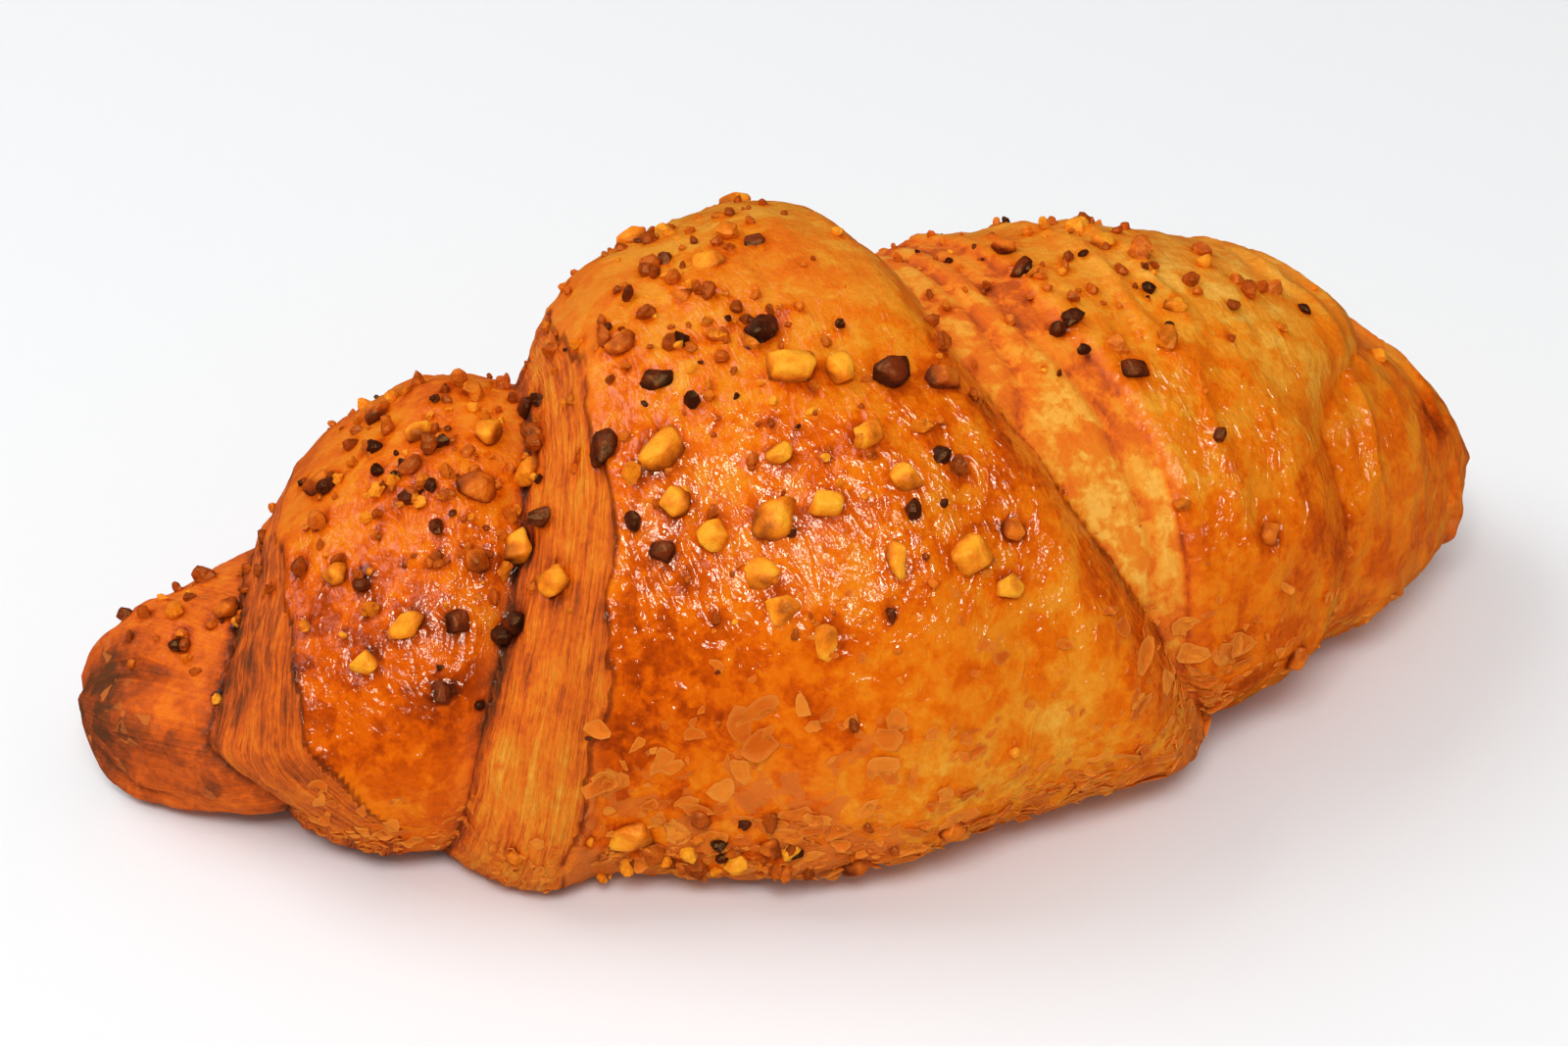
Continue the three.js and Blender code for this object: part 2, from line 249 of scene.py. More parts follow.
def dough_point(along, angle):
    """Point of the dough in millimetres. Each section is a rounded shape, widest below half
    height and pressed flat on the table, carried along an axis bent on one radius."""
    height, half_width = station_value(1, along), station_value(2, along)
    left = np.clip((along - LEFT_END) / LEFT_CAP, 0, 1)
    right = np.clip((RIGHT_END - along) / RIGHT_CAP, 0, 1)
    rounding = np.sqrt((1 - (1 - left) ** 2) * (1 - (1 - right) ** 2))
    lift = np.where(
        along < 0, LEFT_LIFT * np.abs(along / LEFT_END) ** 3, RIGHT_LIFT * np.abs(along / RIGHT_END) ** 3)
    wraps = wrap_thickness(along, turn_of(angle)) * ease(0, 0.6, rounding)
    half = WAIST * height
    sine, cosine = np.sin(angle), np.cos(angle)
    roundness = np.where(sine > 0, UPPER_ROUNDNESS, LOWER_ROUNDNESS)
    side = -np.sign(cosine) * (half_width * rounding + wraps) * np.abs(cosine) ** (2 / roundness)
    rise = np.where(sine > 0, (height - half) * rounding + wraps,
                    -(SAG * half * rounding + 0.3 * wraps))
    z = np.maximum(lift + half + rise * np.abs(sine) ** (2 / roundness), 0)
    bend = along / BEND_RADIUS
    return np.stack([(BEND_RADIUS - side) * np.sin(bend),
                     BEND_RADIUS * (1 - np.cos(bend)) + side * np.cos(bend), z], axis=-1)


def dough_normal(along, angle):
    """Outward unit normal: the cross product of the two central differences."""
    step = 0.01
    lengthwise = dough_point(along + 40 * step, angle) - dough_point(along - 40 * step, angle)
    crosswise = dough_point(along, angle + step) - dough_point(along, angle - step)
    normal = np.cross(lengthwise, crosswise)
    return normal / np.maximum(np.linalg.norm(normal, axis=-1, keepdims=True), 1e-9)


def arc_length(along, angle):
    """Rough distance round the section in millimetres, from the front."""
    return angle * (0.55 * station_value(1, along) + 0.45 * station_value(2, along))


def lattice_value(cell, seed):
    """Repeatable number from 0 to 1 for a whole-number cell, by mixing its three indices."""
    with np.errstate(over="ignore"):
        mixed = (cell[..., 0].astype(np.uint64) * np.uint64(73856093)
                 ^ cell[..., 1].astype(np.uint64) * np.uint64(19349663)
                 ^ cell[..., 2].astype(np.uint64) * np.uint64(83492791)
                 ^ np.uint64(seed * 2654435761))
        mixed = (mixed ^ (mixed >> np.uint64(13))) * np.uint64(1274126177)
        mixed = (mixed ^ (mixed >> np.uint64(16))) * np.uint64(2246822519)
    return ((mixed >> np.uint64(8)) & np.uint64(0xFFFFFF)).astype(float) / 0xFFFFFF


def grain(points, size, seed):
    """Smooth noise from -1 to 1: random values on a lattice of the given size, blended by
    a cubic ease along each of the three directions."""
    scaled = points / size + 1000.0
    cell = np.floor(scaled).astype(np.int64)
    f = scaled - cell
    f = f * f * (3 - 2 * f)
    total = 0
    for corner in range(8):
        offset = np.array([corner & 1, corner >> 1 & 1, corner >> 2 & 1])
        weight = np.prod(np.where(offset, f, 1 - f), axis=-1)
        total = total + weight * lattice_value(cell + offset, seed)
    return 2 * total - 1


def rough_grain(points, size, seed, octaves=3):
    """Sum of grains, each half the size and half the strength of the one before."""
    return sum(grain(points, size / 2 ** k, seed + k) / 2 ** k for k in range(octaves))


def ridges(points, size, seed):
    """Wrinkles from 0 to 1: 1 along the lines where a grain crosses zero."""
    return 1 - np.minimum(2.5 * np.abs(grain(points, size, seed)), 1)


def plates(points, size, seed):
    """Broken-plate pattern: distance to the nearest of one random point per lattice cell,
    how much nearer it is than the second one, and a number that is the same all over one
    plate."""
    scaled = points / size + 1000.0
    cell = np.floor(scaled).astype(np.int64)
    nearest = np.full(points.shape[:-1], 9.0)
    second, name = nearest.copy(), nearest.copy()
    for k in range(27):
        other = cell + np.array([k % 3 - 1, k // 3 % 3 - 1, k // 9 - 1])
        centre = other + np.stack([lattice_value(other, seed + j) for j in range(3)], axis=-1)
        distance = np.linalg.norm(scaled - centre, axis=-1)
        second = np.where(distance < nearest, nearest, np.minimum(second, distance))
        name = np.where(distance < nearest, lattice_value(other, seed + 3), name)
        nearest = np.minimum(nearest, distance)
    return nearest * size, (second - nearest) * size, name


def line(distance, width):
    """Bell curve of the given half width, 1 where distance is 0."""
    return np.exp(-(distance / width) ** 2)


def crust_surface(along, angle):
    """Finished crust at any place on the roll: the point in millimetres, the unit normal and
    the shares of each finish. The relief is added along the normal."""
    turn = turn_of(angle)
    base, normal = dough_point(along, angle), dough_normal(along, angle)
    outer_left, outer_right, middle_left, middle_right, past_seam = wrap_insides(along, turn)
    strip = np.stack([along, arc_length(along, angle), 0 * along], axis=-1)
    warp = np.stack([rough_grain(base, 7.0, 31 + k) for k in range(3)], axis=-1)

    # Just inside a left edge the roll shows its cut layers; the glazed skin starts a few
    # millimetres further in, with a torn edge. The seam on the right stayed pale.
    torn = 0.9 * grain(strip, 9.0, 11) + 0.5 * rough_grain(strip * [1, 0.5, 1], 2.2, 13, 2)
    outer_skin = outer_left - 5 - 5 * ease(-0.1, 0.4, turn) + torn
    middle_skin = middle_left - 5 - 6 * ease(-0.05, 0.45, turn) + torn
    outer_flank = ease(-0.5, 0.5, outer_left) * (1 - ease(-0.3, 0.3, outer_skin))
    middle_flank = (ease(-0.5, 0.5, middle_left) * (1 - ease(-0.3, 0.3, middle_skin))
                    * (1 - ease(-1, 0.5, outer_left)))
    open_seam = ((1 - ease(-0.5, 0.5, outer_right)) * (1 - ease(-0.4, 0.4, past_seam + 0.5 * torn))
                 * ease(-0.95, -0.7, turn))
    strokes = 0.75 * ease(-0.3, 0.6, outer_right) * (1 - ease(1.5, 7.0, outer_right + torn))
    tip = 1 - ease(-1.0, 0.5, middle_left)
    flank = np.clip(outer_flank + middle_flank + strokes + 0.35 * tip, 0, 1)
    skin = (1 - np.clip(outer_flank + middle_flank, 0, 1)) * (1 - open_seam) * (1 - 0.5 * tip)
    on_outer = ease(0, 2, outer_left) * ease(0, 2, outer_right)
    amber = line(along - 13, 16) * line(angle + 0.04, 0.40) * (1 - open_seam)
    flaky = (ease(0.32, 0.66, turn + 0.09 * grain(strip, 11.0, 21)) * skin
             * (0.4 + 0.6 * on_outer) * (1 - 0.85 * amber) * (1 - tip) + 0.3 * tip)
    layer_depth = np.where(middle_flank > 0.05, middle_left,
                           np.where(outer_flank > 0.05, outer_left, outer_right))
    layer_depth = np.where(open_seam > 0.05, past_seam, layer_depth)
    layer_depth = np.where(tip > 0.5, 0.55 * strip[..., 1], layer_depth)

    # Soft swelling, blisters under the glaze, wrinkles, layer edges and broken plates.
    swelling = 0.8 * rough_grain(base, 20.0, 41, 2)
    near, _, name = plates(base + 0.6 * warp, 8.5, 51)
    blister = 0.6 * np.clip(1 - (near / (1.1 + 1.3 * name)) ** 2, 0, 1) ** 1.3 * (name > 0.35)
    wrinkle = (0.26 * ridges(strip * [1, 0.45, 1] + 1.6 * warp, 4.4, 61)
               + 0.10 * ridges(strip * [1, 0.6, 1] + 1.2 * warp, 2.5, 63))
    folds = 0.8 * ridges(strip * [1, 0.2, 1] + 1.8 * warp, 6.0, 65) * ease(32, 40, along)
    leaf = np.sin(layer_depth * (np.pi / 1.5) + 2.4 * grain(strip * [1, 0.16, 1], 3.0, 71))
    layers = (0.38 * np.abs(leaf) * (0.6 + 0.6 * grain(strip * [0.6, 0.35, 1], 3.0, 77))
              + 0.20 * grain(strip * [1, 0.14, 1], 1.0, 73) + 0.35 * rough_grain(base, 4.0, 79, 2))
    _, large_gap, large = plates(base + 1.6 * warp, 4.6, 81)
    _, small_gap, small = plates(base + 1.0 * warp, 2.1, 91)
    broken = (0.9 * (large - 0.5) * ease(0, 0.5, large_gap)
              + 0.45 * (small - 0.5) * ease(0, 0.35, small_gap))
    lip = 0.5 * line(past_seam - 0.9, 0.9) * ease(-0.95, -0.7, turn) * (1 - ease(0.45, 0.7, turn))
    film_edge = 0.35 * (line(outer_skin - 0.5, 0.5) + line(middle_skin - 0.5, 0.5) * (1 - on_outer))
    vein = np.maximum(
        line(outer_right + 5.3 - 6.2 * ease(0.1, 0.24, turn), 0.8) * (1 - ease(0.2, 0.26, turn)),
        line(past_seam + 3.4 + 0.5 * torn, 0.7) * (1 - ease(0.42, 0.55, turn))) * open_seam
    tip_fold = np.sin(5.0 * angle + 2.2 * grain(strip, 7.0, 75))
    pinch = 1.1 * tip_fold * (1 - ease(-80, -66, along))
    relief = (swelling + (blister + wrinkle * (1 - 0.6 * flaky) + folds) * skin + layers * flank
              + broken * flaky + lip + film_edge - 0.6 * vein + 0.15 * wrinkle * open_seam
              + pinch * tip)
    grounded = ease(0.3, 3.0, base[..., 2])
    ends = ease(0, 6, along - LEFT_END) * ease(0, 6, RIGHT_END - along)
    strength = (0.1 + 0.9 * grounded) * (0.35 + 0.65 * ends)
    point = base + normal * (relief * strength)[..., None]
    point[..., 2] = np.maximum(point[..., 2], 0)

    # Browning from 0, pale crumb, to 1, nearly burnt, with painted light and painted shade
    # added in: paler high on the crown is painted light on the top.
    height = base[..., 2]
    bake_and_shading = 0.47 - 0.18 * ease(24, 46, height) + 0.05 * rough_grain(base, 17.0, 101, 3)
    bake_and_shading = bake_and_shading + (0.09 - 0.10 * ease(0.42, 0.49, turn)) * (1 - on_outer) * (1 - ease(0, 10, along))
    bake_and_shading = bake_and_shading + 0.07 * ease(0.1, 0.5, grain(strip * [1, 0.6, 1] + 1.5 * warp, 5.0, 105)) * skin
    bake_and_shading = bake_and_shading - 0.07 * ease(0.1, 0.5, grain(strip * [1, 0.6, 1] + 1.5 * warp, 6.0, 107)) * skin
    bake_and_shading = bake_and_shading + 0.07 * line(outer_skin - 4, 3.5) * on_outer + 0.12 * blister
    bake_and_shading = bake_and_shading + flaky * (0.22 * (large - 0.55) - 0.04)
    bake_and_shading = bake_and_shading + flank * (0.06 + 0.05 * leaf + 0.09 * rough_grain(base, 5.0, 171, 2))
    # The open seam stays pale; partway down the front it is painted paler still, painted light where the
    # outer wrap shades it.
    pale = (0.27 - 0.13 * line(turn - 0.32, 0.14)
            + 0.05 * rough_grain(strip * [1, 0.5, 1] + 0.5 * warp, 4.0, 121, 3)
            + (0.14 * ease(-4.5, -2.5, past_seam) + 0.10 * ease(-3, -0.5, outer_right))
            * (1 - 0.7 * ease(0.22, 0.32, turn)))
    bake_and_shading = bake_and_shading * (1 - open_seam) + pale * open_seam + 0.24 * vein
    # Darker along each wrap and skin edge: partly edges that browned more, partly painted shade in the
    # creases at their feet.
    for inside, depth, width in ((outer_left, 0.30, 0.8), (outer_right, 0.24, 0.6),
                                 (middle_left, 0.20, 1.0), (middle_right, 0.14, 1.0),
                                 (past_seam - 0.2, 0.26, 0.5), (outer_skin, 0.22, 0.35),
                                 (middle_skin, 0.14, 0.35)):
        bake_and_shading = bake_and_shading + depth * line(inside, width)
    bake_and_shading = bake_and_shading + (0.22 * ease(0.25, 0.45, turn) - 0.06) * tip + 0.20 * (1 - ease(0, 9, along - LEFT_END))
    # Painted shade in the valleys between the folds of the pinched tip.
    bake_and_shading = bake_and_shading + 0.09 * ease(0, 0.9, -tip_fold) * (1 - ease(-78, -66, along))
    bake_and_shading = bake_and_shading + 0.20 * line(along + 81.5, 4.5) * line(angle - 0.95, 0.5)
    bake_and_shading = bake_and_shading - 0.32 * amber - 0.07 * ease(28, 40, along)
    bake_and_shading = bake_and_shading + 0.06 * line(along - 4, 12) * line(angle - 0.75, 0.3)
    bake_and_shading = bake_and_shading + outer_flank * (0.06 - 0.26 * ease(0.34, 0.48, turn))
    bake_and_shading = bake_and_shading + 0.38 * line(along - 77.5, 2.6) * line(angle - 0.66, 0.2)
    # Painted shade: darker within 5 mm of the table.
    bake_and_shading = bake_and_shading + 0.12 * (1 - ease(0, 5, height))
    gloss = np.clip(skin * (1 - 0.75 * flaky) * (1 - 0.7 * tip) * ease(0, 8, height), 0, 1)
    gloss = gloss * (0.18 + 0.14 * ease(-0.5, -0.1, turn) + 0.68 * ease(-0.02, 0.22, turn))
    gloss = gloss * (0.72 + 0.28 * ease(-0.2, 0.4, grain(strip * [1, 0.6, 1] + 2 * warp, 11.0, 161)))
    gloss = gloss * (1 - 0.5 * ease(50, 72, along))
    gloss = gloss * (1 - 0.85 * line(outer_left + 0.6, 1.8)) * (1 - 0.6 * line(outer_skin, 1.6) * on_outer)
    gloss = gloss * (1 - 0.7 * line(past_seam, 2.5)) * (1 - 0.25 * (1 - on_outer) * (1 - ease(0, 10, along)))
    bake_and_shading = bake_and_shading + 0.12 * gloss * ease(0.08, 0.2, turn)
    return {"point": point, "base": base, "normal": normal, "bake_and_shading": bake_and_shading, "gloss": gloss,
            "flank": flank, "flaky": flaky, "seam": open_seam, "depth": layer_depth}


# Rows stand closer together towards the ends; columns are close over the front and top
# and far apart on the flat underside.
even = np.arange(1, ROWS) / ROWS
row_along = LEFT_END + (RIGHT_END - LEFT_END) * (even - 0.06 * np.sin(2 * np.pi * even))
around = np.arange(COLUMNS + 1) / COLUMNS
column_angle = 2 * np.pi * (around - 0.105 * np.sin(2 * np.pi * (around + 0.02))) - np.pi / 2
along, angle = np.meshgrid(row_along, column_angle[:-1], indexing="ij")
surface_grid = crust_surface(along, angle)
bake_and_shading, base, normal = surface_grid["bake_and_shading"], surface_grid["base"], surface_grid["normal"]

# The dough is worked out in its own millimetres; to_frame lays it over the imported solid.
dough_low, dough_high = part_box("dough")
poles = np.stack([dough_point(LEFT_END, 0.0), dough_point(RIGHT_END, 0.0)])
everything = np.concatenate([base.reshape(-1, 3), poles])
middle = (everything.min(axis=0) + everything.max(axis=0)) / 2
to_frame = np.array([(dough_low.x + dough_high.x) / 2 / MM - middle[0],
                     (dough_low.y + dough_high.y) / 2 / MM - middle[1], 0.0])


def add_attributes(mesh, attributes):
    """Stores one number a vertex under each name."""
    for attribute_name, values in attributes.items():
        attribute = mesh.attributes.new(attribute_name, "FLOAT", "POINT")
        attribute.data.foreach_set("value", values.astype(np.float32))


def grid_mesh(name, points, left_pole, right_pole, attributes, uv_maps):
    """Closed skin over a grid of rows round a roll, with a fan of triangles to a point at
    each end. Attributes are one value a point; UV maps give a grid one column wider."""
    rows, columns = points.shape[:2]
    index = np.arange(rows * columns).reshape(rows, columns)
    onward = np.roll(index, -1, axis=1)
    quads = np.stack([index[:-1], index[1:], onward[1:], onward[:-1]], axis=-1).reshape(-1, 4)
    first, last = rows * columns, rows * columns + 1
    left_fan = np.stack([np.full(columns, first), index[0], onward[0]], axis=-1)
    right_fan = np.stack([np.full(columns, last), onward[-1], index[-1]], axis=-1)
    vertices = np.concatenate([points.reshape(-1, 3), [left_pole, right_pole]])
    mesh = bpy.data.meshes.new(name)
    mesh.from_pydata(vertices, [], quads.tolist() + left_fan.tolist() + right_fan.tolist())
    add_attributes(mesh, {
        attribute_name: np.append(values.ravel(), [values[0].mean(), values[-1].mean()])
        for attribute_name, values in attributes.items()})
    for map_name, values in uv_maps.items():
        a, b = values[:-1, :-1], values[1:, :-1]
        c, d = values[1:, 1:], values[:-1, 1:]
        quad_part = np.stack([a, b, c, d], axis=2).reshape(-1, 2)
        left_part = np.stack([values[0, :-1], values[0, :-1], values[0, 1:]], axis=1).reshape(-1, 2)
        right_part = np.stack([values[-1, :-1], values[-1, 1:], values[-1, :-1]], axis=1).reshape(-1, 2)
        layer = mesh.uv_layers.new(name=map_name)
        flat = np.concatenate([quad_part, left_part, right_part]).astype(np.float32)
        layer.data.foreach_set("uv", flat.ravel())
    mesh.polygons.foreach_set("use_smooth", np.ones(len(mesh.polygons), dtype=bool))
    mesh.update()
    return mesh


def add_piece(name, mesh, material, replaced):
    """Links a finished mesh as a piece that rides on the croissant's one body."""
    piece = bpy.data.objects.new(name, mesh)
    piece.data.materials.append(material)
    bpy.context.collection.objects.link(piece)
    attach(piece, "root")
    if replaced:
        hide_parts(*replaced)
    return piece


# Small nut bits: kind, place along the axis, angle in degrees and size in millimetres.
# The first ones are listed one by one, the rest fall where the topping was strewn.
SMALL_BITS = [
    ("golden", -23.1, 54, 3.0), ("brown", -19.9, -6, 2.4), ("brown", -13.2, -7, 2.2),
    ("golden", 5.7, 54, 2.6), ("dark", 2.3, 41, 2.2), ("dark", -15.9, 64, 2.0), ("dark", -19.2, 91, 2.2),
    ("brown", -15.5, 98, 2.4), ("brown", -10.9, 85, 2.6), ("dark", -1.5, 26, 1.8), ("dark", -24, 45, 2.0),
    ("brown", -31.2, 78, 2.2), ("golden", -37.1, 99, 2.8), ("dark", -49, 90, 2.2),
    ("golden", -49, 76, 2.4), ("dark", -46, 70, 2.6), ("golden", -36.6, 46, 2.4), ("dark", -32.1, 53, 2.4),
    ("dark", -37, 31, 2.4), ("brown", -57.8, 66, 2.4), ("dark", -51.4, 53, 2.0), ("dark", -44, 23, 2.4),
    ("dark", -79.8, 106, 2.0), ("dark", -73.4, 75, 1.8), ("brown", -70.5, 113, 2.4),
    ("dark", 28.5, 75, 2.0), ("dark", 30.8, 76, 2.6), ("brown", 33.7, 68, 2.4), ("golden", 39.7, 66, 2.6),
    ("brown", 45.1, 92, 2.6), ("brown", 55.3, 95, 2.2), ("brown", 59.3, 79, 2.2), ("dark", 61.4, 72, 1.8),
    ("brown", 50.8, 73, 2.2), ("golden", 34.1, 32, 2.2), ("dark", 39.8, 43, 1.8),
    ("golden", 73.4, 66, 2.2), ("brown", -19.5, -22, 2.6), ("brown", -23.8, -16, 2.8),
    ("golden", -16.1, -19, 2.8), ("brown", -11.3, -22, 2.4), ("golden", -26.7, -22, 2.4),
    ("brown", 8.5, 47, 2.4), ("dark", 7, 49, 2.0),
]
# Strewn bits: how many, place, degrees, spread of each, smallest and largest size.
BIT_REGIONS = [
    (90, -10, 80, 9, 26, 0.7, 1.8), (110, -40, 78, 9, 24, 0.7, 1.8), (60, 36, 88, 12, 20, 0.7, 1.8),
    (30, -8, 45, 12, 16, 0.7, 1.8), (20, -18, -14, 12, 8, 0.7, 1.8), (20, -70, 92, 6, 20, 0.7, 1.8),
    (24, -5, 128, 18, 14, 0.7, 1.8), (44, -44, 84, 8, 16, 1.3, 2.8), (34, -12, 92, 9, 18, 1.3, 2.6),
    (26, 40, 92, 12, 16, 1.2, 2.6), (10, -74, 88, 4, 14, 1.2, 2.2), (16, -20, -18, 9, 5, 1.3, 2.6),
]
BIT_SHARES = [0.27, 0.60, 0.13]
NUT_SEAT, BIT_SEAT = 0.27, 0.5
bit_kinds = [bit[0] for bit in SMALL_BITS]
bit_places = [list(bit[1:3]) for bit in SMALL_BITS]
bit_sizes = [bit[3] for bit in SMALL_BITS]
for count, place, degrees, along_spread, angle_spread, smallest, largest in BIT_REGIONS:
    bit_places += np.stack([random.normal(place, along_spread, count),
                            random.normal(degrees, angle_spread, count)], axis=-1).tolist()
    bit_sizes += (smallest + (largest - smallest) * random.random(count) ** 2).tolist()
    bit_kinds += random.choice(["golden", "brown", "dark"], count, p=BIT_SHARES).tolist()
bit_kinds, bit_places, bit_sizes = np.array(bit_kinds), np.array(bit_places), np.array(bit_sizes)
bit_along, bit_angle = np.clip(bit_places[:, 0], -80, 84), np.radians(bit_places[:, 1])
bit_ground = crust_surface(bit_along, bit_angle)

# Nuts press a shallow seat into the crust with a darker ring of glaze around it. Their
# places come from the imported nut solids.
nut_names = sorted(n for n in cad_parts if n.startswith("nut_"))
nut_boxes = np.array([[list(corner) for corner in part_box(name)] for name in nut_names]) / MM
seat_centres = np.concatenate([nut_boxes.mean(axis=1), bit_ground["point"] + to_frame])
nut_diagonals = np.linalg.norm(nut_boxes[:, 1] - nut_boxes[:, 0], axis=1)
seat_radii = np.concatenate([nut_diagonals * NUT_SEAT, bit_sizes * BIT_SEAT])
halo, seat = np.zeros_like(along), np.zeros_like(along)
framed = base + to_frame
seat_outward = []
for centre, radius in zip(seat_centres, seat_radii):
    reach = np.linalg.norm(framed - centre, axis=-1) / radius
    seat_outward.append(normal.reshape(-1, 3)[np.argmin(reach)])
    seat += np.exp(-(reach / 1.05) ** 4)
    halo += np.exp(-(reach / 1.45) ** 4)
halo, seat = np.clip(halo, 0, 1), np.clip(seat, 0, 1)
bake_and_shading = bake_and_shading + 0.24 * halo
gloss = np.clip(surface_grid["gloss"] + 0.6 * halo, 0, 1)
surface_points = surface_grid["point"] + normal * (0.35 * (halo - seat) - 0.2 * seat)[..., None]

# Egg-washed laminated dough: clear gloss over a mottled orange to red-brown crust, finely
# wrinkled; matt with torn paper-thin plates low on the front, and layered where it is cut.
crust, tree, output = new_material("egg_washed_crust")
share = {name: add_node(tree, "Attribute", {"attribute_name": name}).outputs["Fac"]
         for name in ("bake_and_shading", "gloss", "flank", "flaky", "seam")}
place = add_node(tree, "TexCoord").outputs["Object"]
layer_map = add_node(tree, "UVMap", {"uv_map": "layers"})
strip_map = add_node(tree, "UVMap", {"uv_map": "strip"})

# Object coordinates bent by a 3 mm noise, so that no plate has a straight edge.
bend_noise = add_node(tree, "TexNoise", {"Scale": 330.0, "Detail": 2.0}, {"Vector": place})
bent = add_node(tree, "VectorMath", {"operation": "MULTIPLY_ADD", 1: (PLATE_BEND,) * 3},
                {0: bend_noise.outputs["Color"], 2: place})

# Plates about 3.6 mm and 1.5 mm across, each with a shade and a height of its own.
big_plate = add_node(tree, "TexVoronoi", {"Scale": 278.0}, {"Vector": bent}).outputs["Color"]
small_plate = add_node(tree, "TexVoronoi", {"Scale": 667.0}, {"Vector": bent}).outputs["Color"]
big_tone = add_node(tree, "SeparateColor", {}, {"Color": big_plate})
small_tone = add_node(tree, "SeparateColor", {}, {"Color": small_plate})
plate_sum = add_node(tree, "Math", {"operation": "MULTIPLY_ADD", 1: 0.5}, {0: small_tone, 2: big_tone})
plate_shade = add_node(tree, "Math", {"operation": "MULTIPLY_ADD", 1: 0.32, 2: -0.24}, {0: plate_sum})
plate_bake = add_node(tree, "Math", {"operation": "MULTIPLY"}, {0: plate_shade, 1: share["flaky"]})

# Glaze patches about 4 mm across with soft-cut borders, and fine mottling.
patch_noise = add_node(tree, "TexNoise", {"Scale": 250.0, "Detail": 5.0, "Roughness": 0.6},
                       {"Vector": bent})
patch = add_node(tree, "MapRange", {"From Min": 0.44, "From Max": 0.56, "To Min": -0.10, "To Max": 0.10},
                 {"Value": patch_noise})
patch_share = add_node(tree, "Math", {"operation": "MULTIPLY_ADD", 1: 0.35, 2: 0.65}, {0: share["gloss"]})
patch_bake = add_node(tree, "Math", {"operation": "MULTIPLY"}, {0: patch, 1: patch_share})
mottle_noise = add_node(tree, "TexNoise", {"Scale": 1100.0, "Detail": 4.0, "Roughness": 0.65},
                        {"Vector": place})
mottle = add_node(tree, "Math", {"operation": "MULTIPLY_ADD", 1: 0.34, 2: -0.17}, {0: mottle_noise})

# Layer edges: threads 0.4 mm thick and about 7 mm long that follow the edge of a wrap.
layer_scale = add_node(tree, "Mapping", {"Scale": (240.0, 14.0, 1.0)}, {"Vector": layer_map})
layer_noise = add_node(tree, "TexNoise", {"Scale": 1.0, "Detail": 3.0, "Roughness": 0.62},
                       {"Vector": layer_scale})
layer_shade = add_node(tree, "MapRange",
                       {"From Min": 0.32, "From Max": 0.68, "To Min": 0.19, "To Max": -0.14},
                       {"Value": layer_noise})
crack_scale = add_node(tree, "Mapping", {"Scale": (420.0, 10.0, 1.0)}, {"Vector": layer_map})
crack_noise = add_node(tree, "TexNoise", {"Scale": 1.0, "Detail": 4.0, "Roughness": 0.7},
                       {"Vector": crack_scale})
crack_shade = add_node(tree, "MapRange", {"From Min": 0.54, "From Max": 0.62, "To Min": 0.0, "To Max": 0.14},
                       {"Value": crack_noise})
leaf_shade = add_node(tree, "Math", {"operation": "ADD"}, {0: layer_shade, 1: crack_shade})
layer_bake = add_node(tree, "Math", {"operation": "MULTIPLY"}, {0: leaf_shade, 1: share["flank"]})
seam_bake = add_node(tree, "Math", {"operation": "MULTIPLY_ADD", 1: 0.25}, {0: layer_shade, 2: patch})
seam_part = add_node(tree, "Math", {"operation": "MULTIPLY"}, {0: seam_bake, 1: share["seam"]})

total = share["bake_and_shading"]
for part in (plate_bake, patch_bake, mottle, layer_bake, seam_part):
    total = add_node(tree, "Math", {"operation": "ADD"}, {0: total, 1: part})
browning = add_node(tree, "ValToRGB", {}, {"Fac": total})
stops = [(0.0, "#F2B248"), (0.13, "#EA992A"), (0.28, "#E68014"), (0.42, "#E46C06"),
         (0.55, "#D45602"), (0.67, "#B44103"), (0.80, "#862A05"), (0.90, "#581907"), (1.0, "#34110A")]
ramp = browning.color_ramp
while len(ramp.elements) < len(stops):
    ramp.elements.new(0.5)
for element, (position, colour) in zip(ramp.elements, stops):
    element.position = position
    element.color = linear(colour)

# Dry plates turned tan where the paper-thin skin lifted off the crumb: few of them high on
# the front, most of them near the table.
dry_sum = add_node(tree, "Math", {"operation": "ADD"}, {0: plate_sum, 1: share["flaky"]})
dry_share = add_node(tree, "MapRange", {"From Min": 1.54, "From Max": 1.62, "To Min": 0.0, "To Max": 0.65},
                     {"Value": dry_sum})
dry_mix = add_node(tree, "Mix", {"data_type": "RGBA", 7: linear("#D67026")}, {0: dry_share, 6: browning})

# Crust with no egg wash on it keeps a dusty, slightly greyer bloom.
bloom_share = add_node(tree, "MapRange", {"From Max": 0.5, "To Min": 0.12, "To Max": 0.0},
                       {"Value": share["gloss"]})
crust_mix = add_node(tree, "Mix", {"data_type": "RGBA", 7: linear("#E09458")},
                     {0: bloom_share, 6: dry_mix.outputs[2]})

